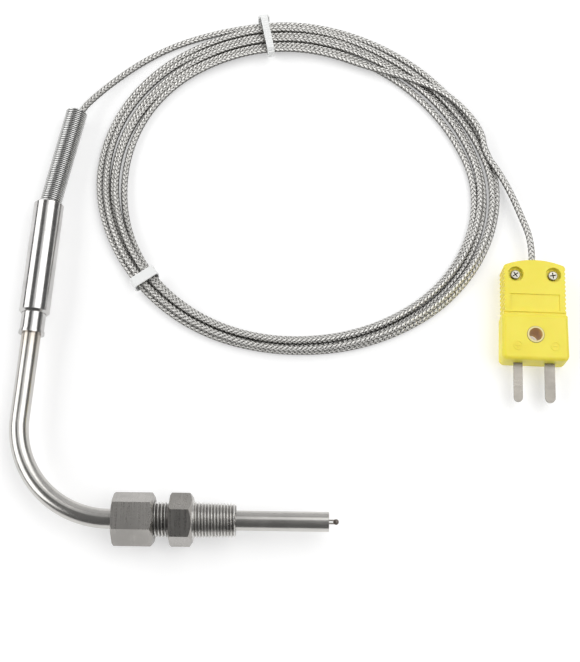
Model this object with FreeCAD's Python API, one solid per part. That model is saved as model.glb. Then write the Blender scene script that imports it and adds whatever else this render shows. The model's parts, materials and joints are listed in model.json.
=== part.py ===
import FreeCAD, Part
import math
import os
from FreeCAD import Placement, Rotation, Vector

# Exhaust gas thermocouple, type K: a bent 6 mm sheath with an exposed bead, a 1/8 NPT compression
# fitting that slides on it, a transition sleeve with a spring strain relief, and a braided lead,
# wound in an oval coil with two ties, that ends in a flat-pin plug.
# It lies on the plane z = 0. The fitting's axis runs along +X, towards the measuring tip.

# ---------------------------------------------------------------- driving dimensions, millimetres
AXIS_Y = -63.57                # fitting axis, so that the probe's box is centred on the origin
AXIS_Z = 7.85                  # fitting axis above the surface: the body hexagon rests on a corner
ARM_DROP = 1.70                # degrees that the bent arm leans down, until the sleeve rests

SHEATH_R = 3.0
SHEATH_BORE_R = 2.32
CORE_R = 2.30
TIP_X = 47.4                   # open end of the sheath
BEND_X = -18.4                 # the bend starts here
BEND_R = 29.0
BEND_TURN = 93.1               # degrees
LEG_R = 0.27
LEG_OFFSET = 0.45              # each leg's distance from the sheath's centre line
LEG_GAP = 0.02
SEAL_DEPTH = 1.5
SEAL_RECESS = 0.3
BEAD_R = 0.85
BEAD_X = TIP_X + 2.15

NUT_X = -16.95                 # rear face of the compression nut
NUT_LENGTH = 12.35
NUT_SEAT_X = -13.6             # the nut's bore opens here into the cone that drives the ferrules
HEX_FLATS = 14.0
HEX_CHAMFER = math.radians(35)
NUT_FACE_R = {"front": 6.8, "rear": 7.5}   # radii of the flat end faces inside the chamfers
BODY_FACE_R = {"front": 6.7, "rear": 7.4}
NUT_LEAN = 0.0                 # degrees that the nut's top flat leans towards +Y
BODY_LEAN = -16.2              # the same for the body's hexagon
BODY_HEX_X = 0.0
BODY_HEX_LENGTH = 6.9
TUBE_BORE_R = 3.06             # fitting bores that slide on the sheath
NECK_R = 5.25                  # parallel neck thread, 10.5 mm across, 1 mm pitch
NECK_LENGTH = 9.2
NECK_PITCH = 1.0
NECK_TAPER = 0.02              # degrees: parallel for any fit, 0.003 mm over its length
NECK_RELIEF_R = 4.7
NECK_RELIEF_LENGTH = 0.85
NUT_THREAD_R = 5.3
NUT_FLARE_R = 3.63             # the flare where the sheath enters the nut
BODY_SEAT_R = 4.25             # mouth of the cone that the front ferrule sits in
BODY_SEAT_LENGTH = 3.0
NPT_LENGTH = 12.8
NPT_PITCH = 25.4 / 27
NPT_BIG_R = 5.4                # crest radius beside the hexagon
NPT_TAPER = math.degrees(math.atan(1 / 32))

RING_STATION = 27.0            # stations are lengths along the straight arm, from the bend's end
RING_R = 3.8
RING_LENGTH = 14.6
RING_LIP_R = 4.05
RING_LIP_LENGTH = 0.9
SLEEVE_STATION = 33.6
SLEEVE_LENGTH = 37.9
SLEEVE_R = 4.8
SLEEVE_BORE_R = 3.9
ARM_TUBE_LENGTH = 43.0         # the sheath ends inside the sleeve
POTTING_END = 66.4
SPLICE_R = 0.48
SPLICE_LENGTH = 5.0
SPLICE_STATIONS = {"positive": 46.0, "negative": 54.0}
CONDUCTOR_R = 0.38
LEAD_STATION = 60.0            # the braided lead starts inside the potting

SPRING_R = 3.5
SPRING_WIRE_R = 0.32
SPRING_PITCH = 0.67
SPRING_TURNS = 56
SPRING_PIVOT = 69.25           # station about which the spring leans in the sleeve's mouth
SPRING_SEAT = 2.25             # length of spring below the pivot
SPRING_LEAN = 8.0              # degrees from the arm, towards +X

CABLE_R = 1.0
COIL_CENTRE = Vector(37.0, 48.0, 0)
# Radii of the oval coil's outer edge and of its band's width, every 30 degrees from +X.
COIL_OUTER = [66.3, 60.2, 57.6, 58.7, 61.3, 65.2, 66.3, 63.6, 60.6, 58.6, 60.5, 64.9]
COIL_BAND = [10.0, 10.5, 11.3, 11.6, 11.4, 10.6, 9.8, 7.3, 6.7, 6.6, 7.2, 8.8]
COIL_BOTTOM = 1.1
COIL_HEIGHT = 4.2

TIE_ANGLES = {"upper": 102.0, "lower": 215.0}
TIE_WIDTHS = {"upper": 2.4, "lower": 3.4}
TIE_WALLS = {"upper": 0.95, "lower": 0.5}
TIE_GAP = 0.1                  # above and below the turns
TIE_SIDE_GAP = 0.4             # beside them, where the oval curves away
TIE_HEAD = Vector(1.7, 4.0, 4.7)
TIE_LOCK = Vector(5.0, 4.6, 0.95)

# Lead from the spring's mouth into the coil, and from the coil to the plug.
LEAD_EXIT = Vector(-36.5, 67.0, 4.05)
LEAD_EXIT_RUN = 5.0            # straight length that leaves through the spring's mouth
LEAD_NEAR = [
    Vector(-32.4, 76.5, 3.0), Vector(-26.4, 82.9, 1.8), Vector(-17.6, 90.4, 1.1),
    Vector(-6.8, 96.9, 1.1), Vector(5.6, 101.3, 1.6), Vector(18.6, 104.0, 2.4),
]
LEAD_FAR = [
    Vector(98.0, 58.9, 3.2), Vector(102.4, 52.3, 3.3), Vector(106.0, 45.0, 3.5),
    Vector(108.8, 37.2, 3.9), Vector(111.3, 30.0, 4.3),
]
LEAD_STOP = 24.05              # the lead's end in the plug, and the last corner before it,
LEAD_CORNER = 37.05            # as lengths from the pin face

PLUG_ORIGIN = Vector(111.06, -12.75, 4.5)  # centre of the pin face, at the parting plane
PLUG_TURN = -1.2                           # degrees about +Z
PLUG_HALF = 10.45              # half width at the pins
PLUG_STEP_HALF = 10.25         # half width beside the grip
PLUG_GRIP_HALF = 9.75
PLUG_LENGTH = 32.8
PLUG_STEP = 14.9               # where the grip starts
PLUG_TOP = 4.5                 # half thickness at the pins
PLUG_EDGE = 1.2                # rounding of the pin half's top edge
PLUG_GRIP_TOP = 4.3
PLUG_GRIP_EDGE = 0.45
PLUG_ARCH_R = 25.0             # the grip's arched end
PLUG_ARCH_CORNER = 1.3
PARTING_GAP = 0.04
STEP_GROOVE = Vector(10.0, 0.6, 0.4)       # half width, length and depth, at the grip's start
WINDOW_V = (16.0, 21.4)        # label window in the cover
WINDOW_HALF = 7.75
WINDOW_DEPTH = 0.35
RIB_V = 16.4                   # the first groove between the grip's ribs
RIB_PITCH = 1.42
RIB_COUNT = 10
RIB_R = 0.55
RIB_OUTSET = 0.15
PRONG_OFFSET = 4.95
PRONG_THICKNESS = 0.8
PRONG_LENGTH = 12.5
PRONG_HALF = {"positive": 1.4, "negative": 1.6}
PRONG_GAP = 0.05
TERMINAL_V = 15.55
TERMINAL_HALF = 2.6            # half length of the wide plate under each terminal
TERMINAL_PLATE_HALF = 2.2      # and half its width
POCKET_V = (11.65, 24.45)
POCKET_HALF = 7.6
POCKET_DEPTH = 3.0
CHANNEL_V = 23.05              # the lead's channel starts here
COVER_SCREW_U = 5.9
COVER_SCREW_V = 27.9
SCREW_WELL_R = 2.45
SCREW_SEAT = 1.49              # depth of the well
EYELET_V = 8.15
MARK_V = 4.5                   # raised polarity marks beside the pins
MARK_U = {"plus": -5.6, "minus": 6.0}
MARK_RING_R = (1.45, 1.2)
MARK_STROKE = 0.14             # half width and height of a mark's strokes
MARK_REACH = 0.75              # half length of a stroke
CROSS_SLOT_HALF = 0.17
EYELET_R = 2.4
EYELET_BORE_R = 2.02
EYELET_FLANGE_R = 2.7
SHELL_SIDE = {"cover": 1, "base": -1}

X_AXIS = Vector(1, 0, 0)
Z_AXIS = Vector(0, 0, 1)
ORIGIN = Vector(0, 0, 0)


# ---------------------------------------------------------------- general shapes
def polygon_face(points):
    """Flat face with straight sides through the points."""
    return Part.Face(Part.makePolygon(points + points[:1]))


def revolved(profile):
    """Solid turned about +X from (x, radius) points."""
    face = polygon_face([Vector(x, r, 0) for x, r in profile])
    return face.revolve(ORIGIN, X_AXIS, 360)


def tube(outer, inner, start, end):
    """Ring turned about +Z, from start to end."""
    ring = Part.makeCylinder(outer, end - start, Vector(0, 0, start))
    return ring.cut(Part.makeCylinder(inner, end - start, Vector(0, 0, start)))


def block(low, high):
    """Box between two corners."""
    return Part.makeBox(high[0] - low[0], high[1] - low[1], high[2] - low[2], Vector(*low))


def hexagon_bar(start, end, lean):
    """Hexagonal bar along +X, with one flat up, leaned some degrees towards +Y."""
    corner = HEX_FLATS / math.sqrt(3)
    angles = [math.radians(60 * k - lean) for k in range(6)]
    points = [Vector(start, corner * math.cos(a), corner * math.sin(a)) for a in angles]
    return polygon_face(points).extrude(Vector(end - start, 0, 0))


def chamfered_hexagon(start, end, lean, face_r):
    """Hexagon whose corners are turned away in a cone at both ends."""
    corner = HEX_FLATS / math.sqrt(3) + 0.1
    slope = math.tan(HEX_CHAMFER)
    front_r = face_r["front"]
    rear_r = face_r["rear"]
    envelope = revolved([
        (start, 0), (start, rear_r), (start + (corner - rear_r) * slope, corner),
        (end - (corner - front_r) * slope, corner), (end, front_r), (end, 0),
    ])
    return hexagon_bar(start, end, lean).common(envelope)


def thread_groove(pitch, length, radius, taper):
    """V groove wound about +Z, from one pitch before the start to one pitch past the end."""
    start_r = radius - pitch * math.tan(math.radians(taper))
    helix = Part.makeLongHelix(pitch, length + 2 * pitch, start_r, taper)
    helix.translate(Vector(0, 0, -pitch))
    root = Vector(start_r, 0, -pitch)
    depth, mouth, flat = 0.6 * pitch, 0.44 * pitch, 0.06
    profile = Part.makePolygon([
        root + Vector(-depth, 0, -flat), root + Vector(0.1, 0, -mouth),
        root + Vector(0.1, 0, mouth), root + Vector(-depth, 0, flat),
        root + Vector(-depth, 0, -flat),
    ])
    sweep = Part.BRepOffsetAPI.MakePipeShell(Part.Wire(helix.Edges))
    sweep.setBiNormalMode(Z_AXIS)
    sweep.add(profile)
    sweep.build()
    sweep.makeSolid()
    groove = sweep.shape()
    if groove.Volume < 0:
        groove.reverse()
    return groove


def swept(wire, radius):
    """Round bar of a radius along a wire."""
    first = wire.OrderedEdges[0]
    start = first.valueAt(first.FirstParameter)
    tangent = first.tangentAt(first.FirstParameter)
    ring = Part.Wire([Part.makeCircle(radius, start, tangent)])
    return wire.makePipeShell([ring], True, False)


def rounded_route(points):
    """Straight runs joined by tangent arcs as large as each pair of runs allows."""
    edges = []
    radii = []
    start = points[0]
    for before, corner, after in zip(points, points[1:], points[2:]):
        back = (before - corner).normalize()
        ahead = (after - corner).normalize()
        turn = math.pi - back.getAngle(ahead)
        reach = 0.45 * min((before - corner).Length, (after - corner).Length)
        radius = reach / math.tan(turn / 2)
        radii.append(radius)
        arc_start = corner + back * reach
        arc_end = corner + ahead * reach
        bisector = (back + ahead).normalize()
        centre = corner + bisector * math.hypot(radius, reach)
        middle = centre - bisector * radius
        edges.append(Part.LineSegment(start, arc_start).toShape())
        edges.append(Part.Arc(arc_start, middle, arc_end).toShape())
        start = arc_end
    edges.append(Part.LineSegment(start, points[-1]).toShape())
    return Part.Wire(edges), radii


def lead_tube(name, points, radius):
    """Tube along a rounded route, with its smallest radius and its volume reported."""
    wire, radii = rounded_route(points)
    solid = swept(wire, radius)
    expected = math.pi * radius ** 2 * wire.Length
    print(f"{name}: length {wire.Length:.1f}, radii {[round(r, 1) for r in radii]}, "
          f"volume {solid.Volume:.1f} of {expected:.1f}")
    return solid


# ---------------------------------------------------------------- frames of the sub-assemblies
ARM_LEAN = math.radians(BEND_TURN - 90)
ARM_START = Vector(BEND_X - BEND_R * math.cos(ARM_LEAN), BEND_R + BEND_R * math.sin(ARM_LEAN), 0)
ARM_DIRECTION = Vector(math.sin(ARM_LEAN), math.cos(ARM_LEAN), 0)

# The probe is drawn with the fitting's axis on X, then leaned about that axis and set down.
PROBE = Placement(Vector(0, AXIS_Y, AXIS_Z), Rotation(X_AXIS, -ARM_DROP))
FITTING = Placement(Vector(0, AXIS_Y, AXIS_Z), Rotation())
ARM = PROBE.multiply(Placement(ARM_START, Rotation(Z_AXIS, ARM_DIRECTION)))
SPRING_DIRECTION = Rotation(Z_AXIS, -SPRING_LEAN).multVec(ARM_DIRECTION)
SPRING_FOOT = ARM_START + ARM_DIRECTION * SPRING_PIVOT - SPRING_DIRECTION * SPRING_SEAT
SPRING = PROBE.multiply(Placement(SPRING_FOOT, Rotation(Z_AXIS, SPRING_DIRECTION)))
LEAD_PIVOT = ARM.multVec(Vector(0, 0, SPRING_PIVOT))
PLUG = Placement(PLUG_ORIGIN, Rotation(Z_AXIS, PLUG_TURN))


def moved(shape, placement):
    """Copy of a shape with a placement applied before its own."""
    copy = shape.copy()
    copy.Placement = placement.multiply(copy.Placement)
    return copy


# ---------------------------------------------------------------- probe
def sheath_wire(offset, start_x, arm_length):
    """Centre line of the bent sheath, moved sideways by an offset towards the bend's centre."""
    centre = Vector(BEND_X, BEND_R, 0)
    radius = BEND_R - offset
    half = math.radians(BEND_TURN / 2)
    bend_start = Vector(BEND_X, offset, 0)
    bend_middle = centre + Vector(-math.sin(half), -math.cos(half), 0) * radius
    bend_end = centre + (ARM_START - centre) * (radius / BEND_R)
    return Part.Wire([
        Part.LineSegment(Vector(start_x, offset, 0), bend_start).toShape(),
        Part.Arc(bend_start, bend_middle, bend_end).toShape(),
        Part.LineSegment(bend_end, bend_end + ARM_DIRECTION * arm_length).toShape(),
    ])


def leg_bar(side, radius, start_x, arm_length):
    """One thermoelement leg, or the hole for it."""
    return swept(sheath_wire(side * LEG_OFFSET, start_x, arm_length), radius)


def splice_length(side):
    """Length of arm that a leg runs to reach the middle of its splice."""
    return SPLICE_STATIONS[side] + SPLICE_LENGTH / 2


def probe_parts():
    """Sheath with its filling, legs, bead, tip seal and transition ring."""
    sheath = swept(sheath_wire(0, TIP_X, ARM_TUBE_LENGTH), SHEATH_R)
    sheath = sheath.cut(swept(sheath_wire(0, TIP_X, ARM_TUBE_LENGTH), SHEATH_BORE_R))
    seal_start = TIP_X - SEAL_RECESS - SEAL_DEPTH
    core = swept(sheath_wire(0, seal_start - 0.05, ARM_TUBE_LENGTH), CORE_R)
    seal = revolved([
        (seal_start, 0), (seal_start, CORE_R), (seal_start + SEAL_DEPTH, CORE_R),
        (seal_start + SEAL_DEPTH, 0),
    ])
    bead = Part.makeSphere(BEAD_R, Vector(BEAD_X, 0, 0))
    parts = {}
    for name, side, polarity in (("chromel_leg", 1, "positive"), ("alumel_leg", -1, "negative")):
        leg = leg_bar(side, LEG_R, BEAD_X, splice_length(polarity))
        hole = leg_bar(side, LEG_R + LEG_GAP, TIP_X, ARM_TUBE_LENGTH + 1)
        core = core.cut(hole)
        seal = seal.cut(hole)
        bead = bead.cut(leg)
        parts[name] = moved(leg, PROBE)
    parts["sheath_tube"] = moved(sheath, PROBE)
    parts["mineral_insulation"] = moved(core, PROBE)
    parts["tip_seal"] = moved(seal, PROBE)
    parts["junction_bead"] = moved(bead, PROBE)
    return parts


# ---------------------------------------------------------------- transition sleeve and spring
def transition_parts():
    """Ring, sleeve, splices, conductors and potting, drawn along +Z from the bend's end."""
    ring_end = RING_STATION + RING_LENGTH
    lip_end = RING_STATION + RING_LIP_LENGTH
    ring = tube(RING_R, SHEATH_R + LEG_GAP, RING_STATION, ring_end)
    lip = tube(RING_LIP_R, SHEATH_R + LEG_GAP, RING_STATION, lip_end)
    ring = ring.fuse(lip).removeSplitter()

    sleeve_end = SLEEVE_STATION + SLEEVE_LENGTH
    chamfer = 0.7
    half = [
        (SLEEVE_STATION, RING_R + LEG_GAP), (SLEEVE_STATION, SLEEVE_R - chamfer),
        (SLEEVE_STATION + chamfer, SLEEVE_R), (sleeve_end - chamfer, SLEEVE_R),
        (sleeve_end, SLEEVE_R - chamfer), (sleeve_end, SLEEVE_BORE_R + 0.15),
        (sleeve_end - 0.4, SLEEVE_BORE_R), (ring_end + 0.2, SLEEVE_BORE_R),
        (ring_end, RING_R + LEG_GAP),
    ]
    sleeve = polygon_face([Vector(r, 0, s) for s, r in half]).revolve(ORIGIN, Z_AXIS, 360)

    potting = Part.makeCylinder(SLEEVE_BORE_R - LEG_GAP, POTTING_END - ARM_TUBE_LENGTH - 0.2,
                                Vector(0, 0, ARM_TUBE_LENGTH + 0.2))
    potting = potting.cut(Part.makeCylinder(CABLE_R, POTTING_END - LEAD_STATION,
                                            Vector(0, 0, LEAD_STATION)))
    parts = {}
    # In the arm's frame +X is the direction that the bend's inner side faces after the turn.
    inner = ARM.Rotation.inverted().multVec(PROBE.Rotation.multVec(
        Vector(math.cos(ARM_LEAN), -math.sin(ARM_LEAN), 0)))
    for polarity, side in (("positive", 1), ("negative", -1)):
        centre = inner * (side * LEG_OFFSET)
        start = SPLICE_STATIONS[polarity]
        end = start + SPLICE_LENGTH
        middle = splice_length(polarity)
        leg_hole = Part.makeCylinder(LEG_R, middle - ARM_TUBE_LENGTH, centre + Z_AXIS * ARM_TUBE_LENGTH)
        conductor = Part.makeCylinder(CONDUCTOR_R, LEAD_STATION - middle, centre + Z_AXIS * middle)
        crimp = Part.makeCylinder(SPLICE_R, SPLICE_LENGTH, centre + Z_AXIS * start)
        crimp_edges = [e for e in crimp.Edges if e.Curve.TypeId == "Part::GeomCircle"]
        crimp = crimp.makeChamfer(0.12, crimp_edges)
        crimp = crimp.cut(leg_hole).cut(conductor)
        potting = potting.cut(Part.makeCylinder(SPLICE_R, end - start, centre + Z_AXIS * start))
        potting = potting.cut(conductor).cut(leg_hole)
        parts["splice_crimp_" + polarity] = moved(crimp, ARM)
        parts["lead_conductor_" + polarity] = moved(conductor, ARM)
    parts["transition_ring"] = moved(ring, ARM)
    parts["transition_sleeve"] = moved(sleeve, ARM)
    parts["sleeve_potting"] = moved(potting, ARM)
    return parts


def strain_relief_spring():
    """Close-wound spring of round wire, seated in the sleeve's mouth, joined from half turns."""
    rise = SPRING_PITCH / 2
    helix = Part.makeHelix(SPRING_PITCH, rise, SPRING_R - SPRING_WIRE_R)
    first = helix.Edges[0]
    start = first.valueAt(first.FirstParameter)
    ring = Part.Wire([Part.makeCircle(SPRING_WIRE_R, start, first.tangentAt(first.FirstParameter))])
    sweep = Part.BRepOffsetAPI.MakePipeShell(Part.Wire(helix.Edges))
    sweep.setFrenetMode(True)
    sweep.add(ring)
    sweep.build()
    half_turns = 2 * SPRING_TURNS
    steps = [Placement(Vector(0, 0, SPRING_WIRE_R + rise * k), Rotation(Z_AXIS, 180 * k))
             for k in range(half_turns + 1)]
    faces = [moved(side, step) for step in steps[:-1] for side in sweep.shape().Faces]
    ends = [moved(Part.Face(ring), steps[k]) for k in (0, half_turns)]
    shell = Part.Shell(faces + ends)
    shell.sewShape()
    return moved(Part.Solid(shell), SPRING)


def lead_in_spring():
    """The lead's first stretch, from the potting up through the spring to the lead's exit."""
    start = ARM.multVec(Vector(0, 0, LEAD_STATION))
    return lead_tube("lead_in_spring", [start, LEAD_PIVOT, LEAD_EXIT], CABLE_R)


def lead_to_coil():
    """The lead from the spring's mouth until it joins the outer turn of the coil."""
    corner = LEAD_EXIT + (LEAD_EXIT - LEAD_PIVOT).normalize() * LEAD_EXIT_RUN
    return lead_tube("cable_near", [LEAD_EXIT, corner] + LEAD_NEAR, CABLE_R)


def lead_to_plug():
    """The lead from the coil into the plug's grip."""
    in_plug = [PLUG.multVec(Vector(0, v, 0)) for v in (LEAD_CORNER, LEAD_STOP)]
    return lead_tube("cable_far", LEAD_FAR + in_plug, CABLE_R)


# ---------------------------------------------------------------- compression fitting
def compression_nut():
    """Nut with a flared rear bore, a cone that drives the ferrules, and the thread's bore."""
    front = NUT_X + NUT_LENGTH
    nut = chamfered_hexagon(NUT_X, front, NUT_LEAN, NUT_FACE_R)
    hollow = revolved([
        (NUT_X - 0.1, 0), (NUT_X - 0.1, NUT_FLARE_R), (NUT_X + 1.5, TUBE_BORE_R + 0.04),
        (NUT_SEAT_X, TUBE_BORE_R + 0.04), (NUT_SEAT_X + 1, NUT_THREAD_R), (front - 0.6, NUT_THREAD_R),
        (front + 0.1, NUT_THREAD_R + 0.7), (front + 0.1, 0),
    ])
    return moved(nut.cut(hollow), FITTING)


def fitting_body():
    """Hexagon with the neck thread towards the nut and the pipe thread towards the tip."""
    hex_end = BODY_HEX_X + BODY_HEX_LENGTH
    neck_start = BODY_HEX_X - NECK_LENGTH
    hexagon = chamfered_hexagon(BODY_HEX_X, hex_end, BODY_LEAN, BODY_FACE_R)

    threaded = NECK_LENGTH - NECK_RELIEF_LENGTH + 0.05
    neck_end_r = NECK_R - threaded * math.tan(math.radians(NECK_TAPER))
    neck = Part.makeCone(neck_end_r, NECK_R, threaded)
    neck = neck.cut(thread_groove(NECK_PITCH, threaded, neck_end_r, NECK_TAPER))
    neck = moved(neck, Placement(Vector(neck_start, 0, 0), Rotation(Z_AXIS, X_AXIS)))
    neck_relief = revolved([
        (BODY_HEX_X - NECK_RELIEF_LENGTH, 0), (BODY_HEX_X - NECK_RELIEF_LENGTH, NECK_RELIEF_R),
        (BODY_HEX_X + 0.5, NECK_RELIEF_R), (BODY_HEX_X + 0.5, 0),
    ])

    small_r = NPT_BIG_R - NPT_LENGTH * math.tan(math.radians(NPT_TAPER))
    pipe = Part.makeCone(small_r, NPT_BIG_R, NPT_LENGTH)
    pipe = pipe.cut(thread_groove(NPT_PITCH, NPT_LENGTH, small_r, NPT_TAPER))
    pipe = moved(pipe, Placement(Vector(hex_end + NPT_LENGTH, 0, 0), Rotation(Z_AXIS, -X_AXIS)))
    nose = revolved([
        (hex_end - 1, 0), (hex_end - 1, 6), (hex_end + NPT_LENGTH - 0.7, 6),
        (hex_end + NPT_LENGTH, small_r - 0.55), (hex_end + NPT_LENGTH, 0),
    ])
    shoulder = revolved([
        (hex_end - 0.5, 0), (hex_end - 0.5, NPT_BIG_R), (hex_end + 0.45, NPT_BIG_R),
        (hex_end + 0.75, NPT_BIG_R - 0.6), (hex_end + 0.75, 0),
    ])
    body = hexagon.fuse([neck, neck_relief, pipe.common(nose), shoulder]).removeSplitter()
    bore = revolved([
        (neck_start - 0.1, 0), (neck_start - 0.1, BODY_SEAT_R),
        (neck_start + BODY_SEAT_LENGTH, TUBE_BORE_R),
        (hex_end + NPT_LENGTH + 0.1, TUBE_BORE_R), (hex_end + NPT_LENGTH + 0.1, 0),
    ])
    return moved(body.cut(bore), FITTING)


def ferrules():
    """Front ferrule in the body's cone, and the rear one that the nut's cone pushes."""
    neck_start = BODY_HEX_X - NECK_LENGTH
    front = revolved([
        (neck_start - 1.6, TUBE_BORE_R), (neck_start - 1.6, 4.05), (neck_start - 0.25, 4.05),
        (neck_start + 2.4, 3.22), (neck_start + 2.4, TUBE_BORE_R),
    ])
    rear_start = NUT_SEAT_X + 0.3
    rear = revolved([
        (rear_start, TUBE_BORE_R), (rear_start, 3.35), (rear_start + 0.85, 4.6),
        (neck_start - 1.9, 4.6), (neck_start - 1.9, TUBE_BORE_R),
    ])
    return {"front_ferrule": moved(front, FITTING), "rear_ferrule": moved(rear, FITTING)}


# ---------------------------------------------------------------- coiled lead
def coil_point(index, inset):
    """Point of the oval, inset from its outer edge, at a multiple of 30 degrees."""
    angle = math.radians(30 * index)
    radius = COIL_OUTER[index] - inset
    return COIL_CENTRE + Vector(radius * math.cos(angle), radius * math.sin(angle), COIL_BOTTOM)


def closed_curve(points):
    """Smooth closed edge through the points."""
    curve = Part.BSplineCurve()
    curve.interpolate(points, PeriodicFlag=True)
    return curve.toShape()


def cable_coil():
    """Band that the oval turns fill."""
    outer = closed_curve([coil_point(k, 0) for k in range(12)])
    inner = closed_curve([coil_point(k, COIL_BAND[k]) for k in range(12)])
    face = Part.Face(Part.Wire([outer])).cut(Part.Face(Part.Wire([inner])))
    return face.extrude(Vector(0, 0, COIL_HEIGHT))


def ring_radius(values, angle):
    """Value of one of the oval's lists at an angle, between its 30 degree steps."""
    step = angle / 30.0
    low = int(step)
    share = step - low
    return values[low % 12] * (1 - share) + values[(low + 1) % 12] * share


def cable_tie(position):
    """Strap round the band of turns, drawn with +X pointing outwards. The upper tie has its
    head at the outer edge, the lower one a flat lock under the turns."""
    angle = TIE_ANGLES[position]
    outer_r = ring_radius(COIL_OUTER, angle)
    band = ring_radius(COIL_BAND, angle)
    wall = TIE_WALLS[position]
    half = TIE_WIDTHS[position] / 2
    low = Vector(-band - TIE_SIDE_GAP, -half - 1, COIL_BOTTOM - TIE_GAP)
    high = Vector(TIE_SIDE_GAP, half + 1, COIL_BOTTOM + COIL_HEIGHT + TIE_GAP)
    strap = block((low.x - wall, -half, low.z - wall), (high.x + wall, half, high.z + wall))
    lengthwise = [e for e in strap.Edges if abs(e.tangentAt(e.FirstParameter).y) > 0.9]
    strap = strap.makeFillet(wall * 0.95, lengthwise)
    if position == "upper":
        start = high.x + wall * 0.5
        lock = block((start, -TIE_HEAD.y / 2, low.z),
                     (start + TIE_HEAD.x, TIE_HEAD.y / 2, low.z + TIE_HEAD.z))
        lock = lock.makeFillet(0.4, lock.Edges)
    else:
        middle = (low.x + high.x) / 2
        lock = block((middle - TIE_LOCK.x / 2, -TIE_LOCK.y / 2, 0.05),
                     (middle + TIE_LOCK.x / 2, TIE_LOCK.y / 2, 0.05 + TIE_LOCK.z))
    tie = strap.fuse(lock).cut(block(low, high)).removeSplitter()
    at = COIL_CENTRE + Rotation(Z_AXIS, angle).multVec(Vector(outer_r, 0, 0))
    return moved(tie, Placement(at, Rotation(Z_AXIS, angle)))


# ---------------------------------------------------------------- plug
# The plug is drawn with u = x across the pins, v = y from the pin face to the cable, and
# w = z = 0 at the parting plane of its two shells.
def rounded_polygon(corners):
    """Face through (u, v, radius) corners, each rounded with a tangent arc."""
    edges = []
    count = len(corners)
    joins = []
    for k in range(count):
        before, corner, after = (Vector(*corners[(k + d) % count][:2], 0) for d in (-1, 0, 1))
        radius = corners[k][2]
        back = (before - corner).normalize()
        ahead = (after - corner).normalize()
        half = back.getAngle(ahead) / 2
        reach = radius / math.tan(half)
        bisector = (back + ahead).normalize()
        middle = corner + bisector * (radius / math.sin(half) - radius)
        joins.append((corner + back * reach, middle, corner + ahead * reach))
    for k in range(count):
        start, middle, end = joins[k]
        edges.append(Part.Arc(start, middle, end).toShape())
        edges.append(Part.LineSegment(end, joins[(k + 1) % count][0]).toShape())
    return Part.Face(Part.Wire(edges))


def top_edges(solid):
    """The edges round a solid's flat top."""
    top = solid.BoundBox.ZMax
    return [e for e in solid.Edges if e.BoundBox.ZMin > top - 0.01]


def shell_outside(side):
    """Outer form of one shell: wide and full height at the pins, narrower and lower at the grip."""
    pins = rounded_polygon([
        (-PLUG_HALF, 0, 1.7), (PLUG_HALF, 0, 1.7), (PLUG_STEP_HALF, PLUG_STEP, 0.6),
        (-PLUG_STEP_HALF, PLUG_STEP, 0.6),
    ]).extrude(Vector(0, 0, PLUG_TOP))
    grip = block((-PLUG_GRIP_HALF, PLUG_STEP - 2, 0), (PLUG_GRIP_HALF, PLUG_LENGTH, PLUG_GRIP_TOP))
    arch_centre = Vector(0, PLUG_LENGTH - PLUG_ARCH_R, 0)
    grip = grip.common(Part.makeCylinder(PLUG_ARCH_R, PLUG_TOP, arch_centre))
    corners = [e for e in grip.Edges if e.BoundBox.ZLength > 1 and e.BoundBox.YMin > PLUG_STEP]
    grip = grip.makeFillet(PLUG_ARCH_CORNER, corners)
    pins = pins.makeFillet(PLUG_EDGE, top_edges(pins))
    grip = grip.makeFillet(PLUG_GRIP_EDGE, top_edges(grip))
    body = pins.fuse(grip).removeSplitter()
    half, length, depth = STEP_GROOVE
    body = body.cut(block((-half, PLUG_STEP, PLUG_GRIP_TOP - depth), (half, PLUG_STEP + length, PLUG_TOP)))
    for side_u in (-1, 1):
        for k in range(RIB_COUNT):
            centre = Vector(side_u * (PLUG_GRIP_HALF + RIB_OUTSET), RIB_V + k * RIB_PITCH, -0.1)
            body = body.cut(Part.makeCylinder(RIB_R, PLUG_TOP + 1, centre))
    if side < 0:
        body = body.mirror(ORIGIN, Z_AXIS)
    return body


def prong_outline(polarity, grow):
    """Blade with a round tip and a wider terminal plate, as a flat face."""
    sign = -1 if polarity == "positive" else 1
    half = PRONG_HALF[polarity] + grow
    middle = sign * PRONG_OFFSET
    tip = -PRONG_LENGTH - grow
    plate_half = TERMINAL_PLATE_HALF + grow
    plate_start = TERMINAL_V - TERMINAL_HALF - grow
    plate_end = TERMINAL_V + TERMINAL_HALF + grow
    edges = [Part.Arc(Vector(middle - half, tip + half, 0), Vector(middle, tip, 0),
                      Vector(middle + half, tip + half, 0)).toShape()]
    points = [
        Vector(middle + half, tip + half, 0), Vector(middle + half, plate_start, 0),
        Vector(middle + plate_half, plate_start, 0), Vector(middle + plate_half, plate_end, 0),
        Vector(middle - plate_half, plate_end, 0), Vector(middle - plate_half, plate_start, 0),
        Vector(middle - half, plate_start, 0), Vector(middle - half, tip + half, 0),
    ]
    edges += [Part.LineSegment(a, b).toShape() for a, b in zip(points, points[1:])]
    return Part.Face(Part.Wire(edges))


def prong_bar(polarity, grow):
    """Prong solid about the parting plane, or the slot for it."""
    face = prong_outline(polarity, grow)
    half = PRONG_THICKNESS / 2 + grow
    face.translate(Vector(0, 0, -half))
    return face.extrude(Vector(0, 0, 2 * half))


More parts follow.
